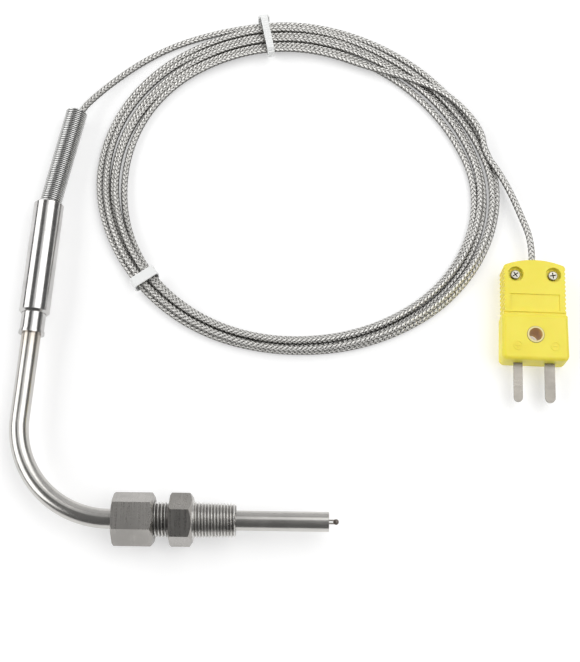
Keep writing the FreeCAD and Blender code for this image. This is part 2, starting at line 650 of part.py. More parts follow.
def shell(name):
    """Base or cover, with its pocket, slots, cable channel and screw holes."""
    side = SHELL_SIDE[name]
    body = shell_outside(side)
    if side > 0:
        body = body.cut(block((-20, -20, -1), (20, 60, PARTING_GAP)))
    pocket_low, pocket_high = sorted((-0.01 * side, (POCKET_DEPTH + 0.01) * side))
    pocket = block((-POCKET_HALF, POCKET_V[0], pocket_low), (POCKET_HALF, POCKET_V[1], pocket_high))
    if side < 0:
        for u in (-PRONG_OFFSET, PRONG_OFFSET):
            stand = block((u - TERMINAL_PLATE_HALF, TERMINAL_V - TERMINAL_HALF, pocket_low - 1),
                          (u + TERMINAL_PLATE_HALF, TERMINAL_V + TERMINAL_HALF, -PRONG_THICKNESS / 2))
            stand = stand.cut(Part.makeCylinder(1.15, 5, Vector(u, TERMINAL_V, -4.2)))
            pocket = pocket.cut(stand)
    body = body.cut(pocket)
    for polarity in PRONG_HALF:
        grow = PRONG_GAP if side > 0 else 0.0
        body = body.cut(prong_bar(polarity, grow))
    channel_r = CABLE_R + 0.06
    channel = Part.makeCylinder(channel_r, PLUG_LENGTH, Vector(0, CHANNEL_V, 0), Vector(0, 1, 0))
    body = body.cut(channel)
    hole_r = EYELET_R if side > 0 else EYELET_R + 0.08
    body = body.cut(Part.makeCylinder(hole_r, 12, Vector(0, EYELET_V, -6)))
    for u in (-COVER_SCREW_U, COVER_SCREW_U):
        at = Vector(u, COVER_SCREW_V, 0)
        if side > 0:
            body = body.cut(Part.makeCylinder(0.92, 6, at + Vector(0, 0, -0.5)))
            well_foot = at + Vector(0, 0, PLUG_GRIP_TOP - SCREW_SEAT)
            body = body.cut(Part.makeCone(SCREW_WELL_R - 0.15, SCREW_WELL_R, SCREW_SEAT + 0.01, well_foot))
        else:
            body = body.cut(Part.makeCylinder(0.92, 3.6, at + Vector(0, 0, -3.55)))
    if side > 0:
        window = block((-WINDOW_HALF, WINDOW_V[0], PLUG_GRIP_TOP - WINDOW_DEPTH),
                       (WINDOW_HALF, WINDOW_V[1], PLUG_GRIP_TOP + 1))
        body = body.cut(window).cut(Part.makeCylinder(EYELET_FLANGE_R + 0.03, 1,
                                                      Vector(0, EYELET_V, PLUG_TOP - 0.25)))
        body = body.fuse(polarity_marks())
    return body.removeSplitter()


def polarity_marks():
    """Raised ring with a plus, and a raised ring with a minus, beside the pins."""
    low = PLUG_TOP - 0.1
    high = PLUG_TOP + MARK_STROKE
    marks = []
    for sign, u in MARK_U.items():
        ring = tube(*MARK_RING_R, low, high)
        bar = block((-MARK_REACH, -MARK_STROKE, low), (MARK_REACH, MARK_STROKE, high))
        strokes = [ring, bar]
        if sign == "plus":
            upright = bar.copy()
            upright.rotate(ORIGIN, Z_AXIS, 90)
            strokes.append(upright)
        for stroke in strokes:
            marks.append(moved(stroke, Placement(Vector(u, MARK_V, 0), Rotation())))
    return marks


def cross_recess(radius, depth, top):
    """Two crossed slots sunk into a screw head whose top is at a height."""
    slot = block((-radius, -CROSS_SLOT_HALF, top - depth), (radius, CROSS_SLOT_HALF, top + 0.1))
    other = slot.copy()
    other.rotate(ORIGIN, Z_AXIS, 90)
    return slot.fuse(other)


def screw(head_r, head_height, shank_r, shank_end, seat, turn):
    """Pan-head screw standing on a seat height, with a cross recess turned about its axis."""
    top = seat + head_height
    head = Part.makeCylinder(head_r, head_height, Vector(0, 0, seat))
    rim = [e for e in head.Edges if e.BoundBox.ZMin > top - 0.01]
    head = head.makeFillet(0.3, rim)
    recess = cross_recess(head_r * 0.66, 0.45, top)
    recess.rotate(ORIGIN, Z_AXIS, turn)
    shank = Part.makeCylinder(shank_r, seat - shank_end + 0.1, Vector(0, 0, shank_end))
    return head.cut(recess).fuse(shank).removeSplitter()


def plug_parts():
    """Shells, prongs, terminals, conductors, screws and eyelet."""
    parts = {"plug_cover": shell("cover"), "plug_base": shell("base")}
    plate_top = PRONG_THICKNESS / 2
    for polarity, sign in (("positive", -1), ("negative", 1)):
        u = sign * PRONG_OFFSET
        at = Vector(u, TERMINAL_V, 0)
        prong = prong_bar(polarity, 0)
        parts["prong_" + polarity] = prong.cut(Part.makeCylinder(1.05, 4, at + Vector(0, 0, -2)))
        washer = block((-1.7, -1.7, plate_top), (1.7, 1.7, plate_top + 0.5))
        washer = washer.cut(Part.makeCylinder(1.05, 4, Vector(0, 0, -1)))
        washer.translate(at)
        parts["terminal_washer_" + polarity] = washer
        terminal = screw(1.65, 1.1, 1.0, -3.0, plate_top + 0.52, 20 * sign)
        terminal.translate(at)
        parts["terminal_screw_" + polarity] = terminal
        route = [
            Vector(0.45 * sign, LEAD_STOP, 0), Vector(0.45 * sign, LEAD_STOP - 2, 0),
            Vector(3.9 * sign, TERMINAL_V + 4.2, 0.82), Vector(u - 0.1 * sign, TERMINAL_V + 2, 0.82),
        ]
        parts["plug_conductor_" + polarity] = lead_tube("plug_conductor", route, CONDUCTOR_R)
    seat = PLUG_GRIP_TOP - SCREW_SEAT + 0.02
    for name, u, turn in (("left", -COVER_SCREW_U, 35), ("right", COVER_SCREW_U, 10)):
        fastener = screw(1.5, 0.85, 0.85, -3.4, seat, turn)
        fastener.translate(Vector(u, COVER_SCREW_V, 0))
        parts["cover_screw_" + name] = fastener
    eyelet = tube(EYELET_R, EYELET_BORE_R, -PLUG_TOP + 0.1, PLUG_TOP)
    flange = tube(EYELET_FLANGE_R, EYELET_BORE_R, PLUG_TOP - 0.25, PLUG_TOP + 0.18)
    rims = [e for e in flange.Edges if e.BoundBox.ZMin > PLUG_TOP + 0.1]
    flange = flange.makeFillet(0.14, rims)
    eyelet = eyelet.fuse(flange).removeSplitter()
    eyelet.translate(Vector(0, EYELET_V, 0))
    parts["plug_eyelet"] = eyelet
    return {name: moved(shape, PLUG) for name, shape in parts.items()}


# ---------------------------------------------------------------- build
def build():
    """Every node of the thermocouple, by name."""
    nodes = {}
    nodes.update(probe_parts())
    nodes.update(transition_parts())
    nodes["strain_relief_spring"] = strain_relief_spring()
    nodes["lead_in_spring"] = lead_in_spring()
    nodes["compression_nut"] = compression_nut()
    nodes["fitting_body"] = fitting_body()
    nodes.update(ferrules())
    nodes["cable_coil"] = cable_coil()
    nodes["cable_near"] = lead_to_coil()
    nodes["cable_far"] = lead_to_plug()
    nodes["cable_tie_upper"] = cable_tie("upper")
    nodes["cable_tie_lower"] = cable_tie("lower")
    nodes.update(plug_parts())
    return nodes


os.makedirs("parts", exist_ok=True)
for node_name, node_shape in build().items():
    if not node_shape.isValid() or node_shape.Volume <= 0:
        print(f"check {node_name}: valid {node_shape.isValid()}, volume {node_shape.Volume:.3f}")
    node_shape.exportStep(f"parts/{node_name}.step")
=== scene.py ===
import bpy
import json
import math
import numpy as np
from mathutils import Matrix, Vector


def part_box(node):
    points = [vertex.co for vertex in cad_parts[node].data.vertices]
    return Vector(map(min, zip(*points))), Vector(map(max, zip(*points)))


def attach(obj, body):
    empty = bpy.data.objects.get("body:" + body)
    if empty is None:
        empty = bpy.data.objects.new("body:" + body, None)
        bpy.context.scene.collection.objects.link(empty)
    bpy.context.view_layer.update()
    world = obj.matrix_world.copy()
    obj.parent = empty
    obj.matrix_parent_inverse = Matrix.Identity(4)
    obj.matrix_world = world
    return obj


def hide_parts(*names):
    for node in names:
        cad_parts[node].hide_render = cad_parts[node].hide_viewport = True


# Exhaust gas thermocouple. Lengths in the constants are millimetres; MM turns them into metres.
MM = 0.001

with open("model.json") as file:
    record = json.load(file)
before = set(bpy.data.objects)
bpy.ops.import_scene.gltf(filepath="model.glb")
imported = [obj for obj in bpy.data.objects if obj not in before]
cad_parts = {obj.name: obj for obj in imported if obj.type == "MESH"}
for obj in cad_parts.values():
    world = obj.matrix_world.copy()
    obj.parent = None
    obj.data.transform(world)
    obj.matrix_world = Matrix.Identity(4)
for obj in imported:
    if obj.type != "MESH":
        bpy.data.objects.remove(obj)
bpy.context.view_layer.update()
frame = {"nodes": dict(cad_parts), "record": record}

# ---------------------------------------------------------------- camera
AIM = Vector((34.9, -2.0, 0.0)) * MM
DISTANCE = 413.0 * MM
ELEVATION = math.radians(73.5)
HEADING = math.radians(0.85)
SENSOR = 36.0
LENS = 70.695


def add_camera():
    """Camera above the front of the object, looking down."""
    data = bpy.data.cameras.new("camera")
    data.lens = LENS
    data.sensor_width = SENSOR
    data.clip_start = 10.0 * MM
    camera = bpy.data.objects.new("camera", data)
    bpy.context.scene.collection.objects.link(camera)
    ahead = Vector((-math.sin(HEADING), math.cos(HEADING), 0.0))
    camera.location = AIM - ahead * DISTANCE * math.cos(ELEVATION)
    camera.location.z = DISTANCE * math.sin(ELEVATION)
    camera.rotation_euler = (math.pi / 2 - ELEVATION, 0.0, HEADING)
    bpy.context.scene.camera = camera


add_camera()

# ---------------------------------------------------------------- the lead's route
CABLE_R = 1.0
LEAD_EXIT = (-36.5, 67.0, 4.05)
LEAD_NEAR = [
    LEAD_EXIT, (-35.38, 71.87, 3.92), (-32.0, 76.6, 3.0), (-26.0, 83.2, 1.8),
    (-17.0, 91.0, 1.05), (-6.6, 97.3, 1.05), (6.0, 101.9, 1.2),
]
LEAD_FAR = [
    (98.0, 58.9, 3.2), (102.4, 52.3, 3.1), (106.0, 45.0, 3.3), (108.8, 37.2, 3.8),
    (111.3, 30.0, 4.3), (111.84, 24.29, 4.5), (111.73, 19.34, 4.5), (111.56, 11.29, 4.5),
]
COIL_CENTRE = (37.0, 48.0)
# The oval coil's outer radius and its width, every 30 degrees from +X.
COIL_OUTER = [66.3, 60.2, 57.6, 58.7, 61.3, 65.2, 66.3, 63.6, 60.6, 58.6, 60.5, 64.9]
COIL_BAND = [10.0, 10.5, 11.3, 11.6, 11.4, 10.6, 9.8, 7.3, 6.7, 6.6, 7.2, 8.8]
COIL_START = 108.0              # degrees, where the lead joins the outer turn
COIL_TURNS = 5
POINT_STEP = 15.0               # degrees of coil from one point of the route to the next
ARC_GAIN = 0.35                 # the smooth line runs this far inside its points
EDGE_GAP = 1.1 * CABLE_R        # from the coil's edge to the middle of the turn along it
TURN_GAP = 2.06 * CABLE_R       # between the middles of two turns that touch
LOW_HEIGHT = 1.05               # of the middle of a turn that lies on the surface
LANE_SHIFT = (305.0, 362.0)     # degrees of a turn over which it moves one lane inwards
LANE_OPENS = (5.0, 45.0)        # degrees over which room opens for one lane more
LANE_CLOSES = (104.0, 160.0)
# Loose turns wander: by how many millimetres, in how many waves a turn, and how far each
# turn's waves run ahead of the last one's, in radians.
WANDER = ((0.35, 2.0, 2.1), (0.25, 3.0, -3.7))
TIE_AT = {"upper": 102.0, "lower": 215.0}
TIE_GRIP = 4.0                  # degrees each side of a tie that it holds tight
TIE_GATHERS = 40.0              # degrees from a tie over which the turns draw together
TIE_LIFTS = 55.0                # and over which they rise onto the strap under them
LEAVE_FROM = 62.0               # degrees, where the last turn starts to cross to the outside
LEAVE_TO = 14.0
ROUTE_END = 18.0
CROSSING_RADIUS = 63.2
CROSSING_HEIGHT = 4.2
CURVE_STEPS = 12                # points of the curve for each of its control points


def smooth(value, low, high):
    """0 below low, 1 above high, and an even ease between."""
    t = min(max((value - low) / (high - low), 0.0), 1.0)
    return t * t * (3.0 - 2.0 * t)


def oval(values, degrees):
    """Smooth periodic value between the 30 degree steps."""
    step = degrees / 30.0
    low = math.floor(step)
    t = step - low
    a, b, c, d = (values[(low + k) % 12] for k in (-1, 0, 1, 2))
    return b + 0.5 * t * (c - a + t * (2 * a - 5 * b + 4 * c - d + t * (3 * (b - c) + d - a)))


def near_tie(degrees, reach):
    """1 at a tie, falling to 0 at reach degrees from it."""
    gaps = [abs((degrees - at + 180.0) % 360.0 - 180.0) for at in TIE_AT.values()]
    return 1.0 - smooth(min(gaps), TIE_GRIP, reach)


def coil_point(travel):
    """Point of the route after so many degrees of coil, clockwise from the start."""
    angle = COIL_START - travel
    here = angle % 360.0
    turn = travel / 360.0
    # Each turn moves one lane inwards as it passes the place where the lead comes in.
    lane = sum(smooth(travel - 360.0 * k, *LANE_SHIFT) for k in range(COIL_TURNS))
    extra = smooth(here, *LANE_OPENS) * (1.0 - smooth(here, *LANE_CLOSES))
    spacing = (oval(COIL_BAND, here) - 2.0 * EDGE_GAP) / (COIL_TURNS - 1 + extra)
    waves = sum(size * math.sin(math.radians(count * angle) + ahead * turn)
                for size, count, ahead in WANDER)
    drift = (1.0 - near_tie(here, TIE_GATHERS)) * waves
    radius = oval(COIL_OUTER, here) - EDGE_GAP - spacing * lane + drift + ARC_GAIN
    # Every second lane lies on its neighbours, as high as their spacing lets it sink.
    stack = 0.5 - 0.5 * math.cos(math.pi * lane)
    lift = math.sqrt(max(TURN_GAP ** 2 - min(spacing, TURN_GAP) ** 2, 0.0))
    height = LOW_HEIGHT * (1.0 + near_tie(here, TIE_LIFTS)) + stack * lift
    # The last turn leaves over the outer ones.
    last = 360.0 * COIL_TURNS + COIL_START
    leave = smooth(travel, last - LEAVE_FROM, last - LEAVE_TO)
    radius += leave * (CROSSING_RADIUS - radius)
    height += smooth(leave, 0.02, 0.35) * (CROSSING_HEIGHT - height)
    x = COIL_CENTRE[0] + radius * math.cos(math.radians(angle))
    y = COIL_CENTRE[1] + radius * math.sin(math.radians(angle))
    return (x, y, height)


def lead_points():
    """Control points of the whole lead: to the coil, round it, and to the plug."""
    end = 360.0 * COIL_TURNS + COIL_START - ROUTE_END
    coil = [coil_point(POINT_STEP * k) for k in range(int(end / POINT_STEP) + 1)]
    return LEAD_NEAR + coil + LEAD_FAR


def spline_object(name, points):
    """Smooth NURBS curve with these control points, given in millimetres."""
    curve = bpy.data.curves.new(name, "CURVE")
    curve.dimensions = "3D"
    spline = curve.splines.new("NURBS")
    spline.points.add(len(points) - 1)
    for target, point in zip(spline.points, points):
        target.co = (point[0] * MM, point[1] * MM, point[2] * MM, 1.0)
    spline.order_u = 3
    spline.use_endpoint_u = True
    spline.resolution_u = CURVE_STEPS
    item = bpy.data.objects.new(name, curve)
    bpy.context.scene.collection.objects.link(item)
    return item


def curve_line(item):
    """The points of a curve with no bevel, in metres, in order."""
    mesh = bpy.data.meshes.new_from_object(item)
    line = np.zeros(len(mesh.vertices) * 3)
    mesh.vertices.foreach_get("co", line)
    bpy.data.meshes.remove(mesh)
    return line.reshape(-1, 3)


def even_line(line, step):
    """The same line with points an even step apart, and the length along it."""
    lengths = np.linalg.norm(np.diff(line, axis=0), axis=1)
    along = np.concatenate([[0.0], np.cumsum(lengths)])
    count = int(round(along[-1] / step)) + 1
    stations = np.linspace(0.0, along[-1], count)
    even = np.stack([np.interp(stations, along, line[:, k]) for k in range(3)], axis=1)
    return even, stations


def line_frames(line):
    """Tangent, side and upright directions along a line that never stands on end."""
    tangent = np.gradient(line, axis=0)
    tangent /= np.linalg.norm(tangent, axis=1)[:, None]
    up = np.array([0.0, 0.0, 1.0]) - tangent * tangent[:, 2:3]
    up /= np.linalg.norm(up, axis=1)[:, None]
    return tangent, np.cross(tangent, up), up


# ---------------------------------------------------------------- meshes
def mesh_object(name, vertices, faces, uvs=None):
    """Smooth object from numpy vertices and quads, with optional corner UVs."""
    mesh = bpy.data.meshes.new(name)
    sides = faces.shape[1]
    mesh.vertices.add(len(vertices))
    mesh.vertices.foreach_set("co", vertices.astype(np.float32).ravel())
    mesh.loops.add(faces.size)
    mesh.loops.foreach_set("vertex_index", faces.astype(np.int32).ravel())
    mesh.polygons.add(len(faces))
    mesh.polygons.foreach_set("loop_start", np.arange(0, faces.size, sides, dtype=np.int32))
    mesh.update(calc_edges=True)
    mesh.polygons.foreach_set("use_smooth", np.full(len(faces), True))
    if uvs is not None:
        layer = mesh.uv_layers.new(name="lengthwise")
        layer.data.foreach_set("uv", uvs.astype(np.float32).ravel())
    mesh.validate()
    item = bpy.data.objects.new(name, mesh)
    bpy.context.scene.collection.objects.link(item)
    return item


def tube_faces(rings, around):
    """Quads between rings of points."""
    ring, step = np.meshgrid(np.arange(rings - 1), np.arange(around), indexing="ij")
    after = (step + 1) % around
    corners = [ring * around + step, ring * around + after,
               (ring + 1) * around + after, (ring + 1) * around + step]
    return np.stack(corners, axis=-1).reshape(-1, 4)


def tube_uvs(rings, around, lengths):
    """UVs for those quads: round the tube, and along it in the given units."""
    ring, step = np.meshgrid(np.arange(rings - 1), np.arange(around), indexing="ij")
    u0, u1 = step / around, (step + 1) / around
    v0, v1 = lengths[ring], lengths[ring + 1]
    corners = [np.stack(pair, axis=-1) for pair in ((u0, v0), (u1, v0), (u1, v1), (u0, v1))]
    return np.stack(corners, axis=2).reshape(-1, 2)


BRAID_CARRIERS = 6              # wire bundles wound each way
BRAID_LAY = 9.3                 # length of one turn of a bundle
BRAID_CORE_R = 0.88 * CABLE_R
BUNDLE_CROWN = 0.12             # how far a bundle's middle stands above its edges
WEAVE_RISE = 0.085              # how far it rises where it lies on top
WEAVE_LOW, WEAVE_SPAN = -0.03, 0.2
BRAID_AROUND = 36               # points of the mesh round the lead
BRAID_STEP = 0.19               # between them along it


def braid_relief(turn, length):
    """Height of the woven surface above its core, and which way the upper bundle runs."""
    left = BRAID_CARRIERS * (turn + length / BRAID_LAY)
    right = BRAID_CARRIERS * (turn - length / BRAID_LAY)
    row, column = np.floor(left), np.floor(right)
    crown_left = 1.0 - (2.0 * (left - row) - 1.0) ** 2
    crown_right = 1.0 - (2.0 * (right - column) - 1.0) ** 2
    rise_left = np.cos(math.pi / 2 * (right + row - 1.0))
    rise_right = -np.cos(math.pi / 2 * (left + column - 1.0))
    high_left = BUNDLE_CROWN * crown_left + WEAVE_RISE * rise_left
    high_right = BUNDLE_CROWN * crown_right + WEAVE_RISE * rise_right
    return np.maximum(high_left, high_right), high_left > high_right


def point_values(item, name, values):
    """Store one number for each vertex, for the material to read."""
    layer = item.data.attributes.new(name, "FLOAT", "POINT")
    layer.data.foreach_set("value", values.astype(np.float32).ravel())


def braided_tube(name, item):
    """Woven wire sleeve that follows a curve, as one mesh with the weave in its surface."""
    line, stations = even_line(curve_line(item), BRAID_STEP * MM)
    _, side, up = line_frames(line)
    turn = np.arange(BRAID_AROUND) / BRAID_AROUND
    grid_turn, grid_length = np.meshgrid(turn, stations / MM)
    relief, leftward = braid_relief(grid_turn, grid_length)
    radius = (BRAID_CORE_R + relief) * MM
    angle = 2.0 * math.pi * grid_turn
    vertices = (line[:, None, :]
                + (radius * np.cos(angle))[:, :, None] * side[:, None, :]
                + (radius * np.sin(angle))[:, :, None] * up[:, None, :])
    uvs = tube_uvs(len(line), BRAID_AROUND, stations / (BRAID_LAY * MM))
    tube = mesh_object(name, vertices.reshape(-1, 3), tube_faces(len(line), BRAID_AROUND), uvs)
    # These attributes drive the braid's painted shade and painted highlight.
    point_values(tube, "weave_height", (relief - WEAVE_LOW) / WEAVE_SPAN)
    point_values(tube, "facing_up", np.sin(angle))
    point_values(tube, "weave_lay", leftward)
    return tube, line


lead_curve = spline_object("lead_route", lead_points())
lead, lead_line = braided_tube("braided_lead", lead_curve)
bpy.data.objects.remove(lead_curve)
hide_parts("cable_near", "cable_coil", "cable_far")
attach(lead, "probe")


# ---------------------------------------------------------------- cable ties
# A tie is drawn with X outwards from the coil's outer edge and Z up, then turned to its place.
STRAP_ROOM = 0.4                # between the strap and the turns
STRAP_TOP = 5.4                 # height of the strap's inner side over the turns
STRAP_BEND_R = 0.9              # inner radius of the strap's bends
STRAP_BEND_STEPS = 8
STRAP_AROUND = 20               # points of the mesh round the strap's section
STRAP_STEP = 0.12               # between them along it
BOX_STEPS = 9                   # points along each edge of a rounded block


def rounded_box(low, high, bevel, taper=1.0):
    """Block with rounded edges, in millimetres; taper narrows its far X end."""
    centre = [(a + b) / 2 for a, b in zip(low, high)]
    half = [(b - a) / 2 for a, b in zip(low, high)]
    share = np.linspace(-1.0, 1.0, BOX_STEPS)
    points, faces = [], []
    for axis in range(3):
        for side in (-1.0, 1.0):
            start = len(points)
            for a in share:
                for b in share:
                    cube = [a, b]
                    cube.insert(axis, side)
                    points.append(cube)
            for i in range(BOX_STEPS - 1):
                for j in range(BOX_STEPS - 1):
                    k = start + i * BOX_STEPS + j
                    quad = [k, k + 1, k + BOX_STEPS + 1, k + BOX_STEPS]
                    faces.append(quad if side * (-1.0) ** axis < 0 else quad[::-1])
    cube = np.array(points)
    inner = np.array([h - bevel for h in half])
    place = cube * np.array(half)
    core = np.clip(place, -inner, inner)
    away = place - core
    length = np.maximum(np.linalg.norm(away, axis=1), 1e-9)
    place = core + away * (bevel / length)[:, None] * (length > 1e-6)[:, None]
    squeeze = 1.0 - (1.0 - taper) * (place[:, 0:1] / half[0] + 1.0) / 2.0
    place[:, 1:] *= squeeze
    return place + np.array(centre), np.array(faces)


def strap_loop(low, high, wall, half_width, rib_height, rib_pitch):
    """Strap round a rectangle in X and Z, with cross ribs on its outer side."""
    mid_low = (low[0] - wall / 2, low[1] - wall / 2)
    mid_high = (high[0] + wall / 2, high[1] + wall / 2)
    line = []
    corners = [(mid_high[0], mid_high[1], 0), (mid_low[0], mid_high[1], 90),
               (mid_low[0], mid_low[1], 180), (mid_high[0], mid_low[1], 270)]
    reach = STRAP_BEND_R + wall / 2
    for x, z, start in corners:
        cx = x - math.copysign(reach, x - (mid_low[0] + mid_high[0]) / 2)
        cz = z - math.copysign(reach, z - (mid_low[1] + mid_high[1]) / 2)
        for k in range(STRAP_BEND_STEPS + 1):
            a = math.radians(start + 90 * k / STRAP_BEND_STEPS)
            line.append((cx + reach * math.cos(a), cz + reach * math.sin(a)))
    line = np.array(line + line[:1])
    even, stations = even_line(line_3d(line), STRAP_STEP)
    even, stations = even[:-1], stations[:-1]
    tangent = np.roll(even, -1, axis=0) - np.roll(even, 1, axis=0)
    tangent /= np.linalg.norm(tangent, axis=1)[:, None]
    outward = np.stack([tangent[:, 2], np.zeros(len(tangent)), -tangent[:, 0]], axis=1)
    ribs = rib_height * (0.5 - 0.5 * np.cos(2.0 * math.pi * stations / rib_pitch)) ** 0.6
    # The section is a flat oblong with soft corners; the ribs stand on its outer face only.
    angle = 2.0 * math.pi * np.arange(STRAP_AROUND) / STRAP_AROUND
    across = np.sign(np.cos(angle)) * np.abs(np.cos(angle)) ** 0.35 * half_width
    height = np.sign(np.sin(angle)) * np.abs(np.sin(angle)) ** 0.5 * wall / 2
    outer = (np.sin(angle) > 0.3) * (np.abs(across) < 0.8 * half_width)
    lift = height[None, :] - ribs[:, None] * outer[None, :]
    vertices = (even[:, None, :] + outward[:, None, :] * lift[:, :, None]
                + np.array([0.0, 1.0, 0.0]) * across[None, :, None])
    rings = len(even)
    faces = tube_faces(rings + 1, STRAP_AROUND) % (rings * STRAP_AROUND)
    return vertices.reshape(-1, 3), faces


def line_3d(line):
    """Points of X and Z as points of X, Y and Z with no Y."""
    return np.stack([line[:, 0], np.zeros(len(line)), line[:, 1]], axis=1)


def joined(shapes):
    """One list of vertices and one of faces from several."""
    vertices, faces, count = [], [], 0
    for points, quads in shapes:
        vertices.append(points)
        faces.append(quads + count)
        count += len(points)
    return np.concatenate(vertices), np.concatenate(faces)


def tie_piece(name, degrees, shapes):
    """A tie drawn with +X outwards, set on the coil's outer edge at an angle."""
    vertices, faces = joined(shapes)
    turn = math.radians(degrees)
    radius = linear(COIL_OUTER, degrees)
    cos, sin = math.cos(turn), math.sin(turn)
    x = COIL_CENTRE[0] + (radius + vertices[:, 0]) * cos - vertices[:, 1] * sin
    y = COIL_CENTRE[1] + (radius + vertices[:, 0]) * sin + vertices[:, 1] * cos
    placed = np.stack([x, y, vertices[:, 2]], axis=1) * MM
    tie = mesh_object(name + "_detail", placed, faces)
    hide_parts(name)
    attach(tie, "probe")
    return tie


def linear(values, degrees):
    """Value between the oval's 30 degree steps on a straight line."""
    step = degrees / 30.0
    low = math.floor(step)
    return values[low % 12] + (values[(low + 1) % 12] - values[low % 12]) * (step - low)


def upper_tie():
    """Ribbed strap, its head with the tail through it, and a bent end at the inner edge."""
    band = linear(COIL_BAND, TIE_AT["upper"])
    strap = strap_loop((-band - STRAP_ROOM, 0.75), (STRAP_ROOM, STRAP_TOP), wall=0.65,
                       half_width=1.18, rib_height=0.14, rib_pitch=0.85)
    head = rounded_box((0.5, -2.0, 0.5), (2.0, 2.0, 4.6), bevel=0.45, taper=0.94)
    lip = rounded_box((0.6, -1.5, 4.2), (1.7, 1.5, 5.1), bevel=0.3)
    pawl = rounded_box((1.7, -0.9, 1.6), (2.15, 0.9, 3.8), bevel=0.18)
    tail = rounded_box((-band - 1.5, -1.05, 4.3), (-band - 0.7, 1.05, 5.2), bevel=0.3)
    return tie_piece("cable_tie_upper", TIE_AT["upper"], [strap, head, lip, pawl, tail])


def lower_tie():
    """Smooth flat band with its lock under the turns."""
    band = linear(COIL_BAND, TIE_AT["lower"])
    strap = strap_loop((-band - STRAP_ROOM, 1.0), (STRAP_ROOM, STRAP_TOP), wall=0.5,
                       half_width=1.7, rib_height=0.05, rib_pitch=3.4)
    middle = -band / 2
    lock = rounded_box((middle - 2.5, -2.3, 0.05), (middle + 2.5, 2.3, 0.95), bevel=0.3)
    return tie_piece("cable_tie_lower", TIE_AT["lower"], [strap, lock])


ties = [upper_tie(), lower_tie()]


# ---------------------------------------------------------------- materials
class Surface:
    """Node material with one Principled shader and short calls that add nodes to it."""

    def __init__(self, name, color, metallic=0.0, roughness=0.4):
        self.material = bpy.data.materials.new(name)
        self.material.use_nodes = True
        self.tree = self.material.node_tree
        self.shader = self.tree.nodes["Principled BSDF"]
        self.shader.inputs["Base Color"].default_value = (*color, 1.0)
        self.shader.inputs["Metallic"].default_value = metallic
        self.shader.inputs["Roughness"].default_value = roughness
        self.relief = None

    def node(self, kind, settings=None, **inputs):
        """Add a node; inputs are values or other nodes' outputs."""
        item = self.tree.nodes.new(kind)
        for key, value in (settings or {}).items():
            setattr(item, key, value)
        for key, value in inputs.items():
            name = int(key[1:]) if key[0] == "_" else key.replace("_", " ")
            self.put(item.inputs[name], value)
        return item

    def put(self, socket, value):
        """Set a socket to a value, or link an output to it."""
        if isinstance(value, bpy.types.NodeSocket):
            self.tree.links.new(value, socket)
        elif value is not None:
            socket.default_value = value

    def place(self):
        """Object coordinates."""
        return self.node("ShaderNodeTexCoord").outputs["Object"]

    def coordinate(self, axis):
        """Object coordinate along X, Y or Z, in metres."""
        return self.node("ShaderNodeSeparateXYZ", Vector=self.place()).outputs[axis]

    def noise(self, scale, detail=3.0, stretch=(1.0, 1.0, 1.0)):
        """Noise from 0 to 1; scale is in cells per metre, times the stretch on each axis."""
        mapping = self.node("ShaderNodeMapping", Vector=self.place())
        mapping.inputs["Scale"].default_value = stretch
        item = self.node("ShaderNodeTexNoise", Vector=mapping.outputs["Vector"],
                         Scale=scale, Detail=detail, Roughness=0.55)
        return item.outputs[0]

    def math(self, operation, a, b=0.0, clamp=False):
        """Maths node."""
        item = self.node("ShaderNodeMath", {"operation": operation, "use_clamp": clamp}, _0=a, _1=b)
        return item.outputs[0]

    def spread(self, value, low, high, to_low=0.0, to_high=1.0):
        """Map a value's range, clamped."""
        item = self.node("ShaderNodeMapRange", Value=value)
        for key, number in (("From Min", low), ("From Max", high), ("To Min", to_low), ("To Max", to_high)):
            item.inputs[key].default_value = number
        return item.outputs["Result"]

    def blend(self, factor, a, b):
        """Mix two colours."""
        item = self.node("ShaderNodeMix", {"data_type": "RGBA"})
        self.put(item.inputs[0], factor)
        for socket, value in ((item.inputs[6], a), (item.inputs[7], b)):
            if isinstance(value, tuple):
                value = (*value, 1.0)
            self.put(socket, value)
        return item.outputs[2]

    def vector_math(self, operation, a, b=None):
        """Vector maths node with a second vector that is the same all over."""
        item = self.node("ShaderNodeVectorMath", {"operation": operation}, _0=a)
        if b is not None:
            item.inputs[1].default_value = b
        return item.outputs

    def off_axis(self, start, direction):
        """Distance from a line, in metres."""
        away = self.vector_math("SUBTRACT", self.place(), start)["Vector"]
        cross = self.vector_math("CROSS_PRODUCT", away, direction.normalized())["Vector"]
        return self.vector_math("LENGTH", cross)["Value"]

    def along(self, start, direction):
        """Distance along a line, in metres."""
        away = self.vector_math("SUBTRACT", self.place(), start)["Vector"]
        return self.vector_math("DOT_PRODUCT", away, direction.normalized())["Value"]

    def base_color(self):
        """The output that drives the base colour so far."""
        return self.shader.inputs["Base Color"].links[0].from_socket

    def color(self, value):
        """Drive the base colour."""
        self.put(self.shader.inputs["Base Color"], value)

    def roughness(self, value):
        """Drive the roughness."""
        self.put(self.shader.inputs["Roughness"], value)

    def bump(self, value, depth):
        """Add relief of a depth in millimetres."""
        item = self.node("ShaderNodeBump", Height=value)
        item.inputs["Strength"].default_value = 1.0
        item.inputs["Distance"].default_value = depth * MM
        if self.relief is not None:
            self.put(item.inputs["Normal"], self.relief)
        self.relief = item.outputs["Normal"]
        self.put(self.shader.inputs["Normal"], self.relief)


def middle_of(node):
    """Middle of a CAD node's box."""
    low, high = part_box(node)
    return (low + high) / 2.0


X_AXIS = Vector((1.0, 0.0, 0.0))
Z_AXIS = Vector((0.0, 0.0, 1.0))
ACROSS_X = (1.0, 0.02, 0.02)    # lines round an axis that lies along X
ACROSS_Y = (0.02, 1.0, 0.02)
FITTING_TONE = (0.41, 0.395, 0.375)


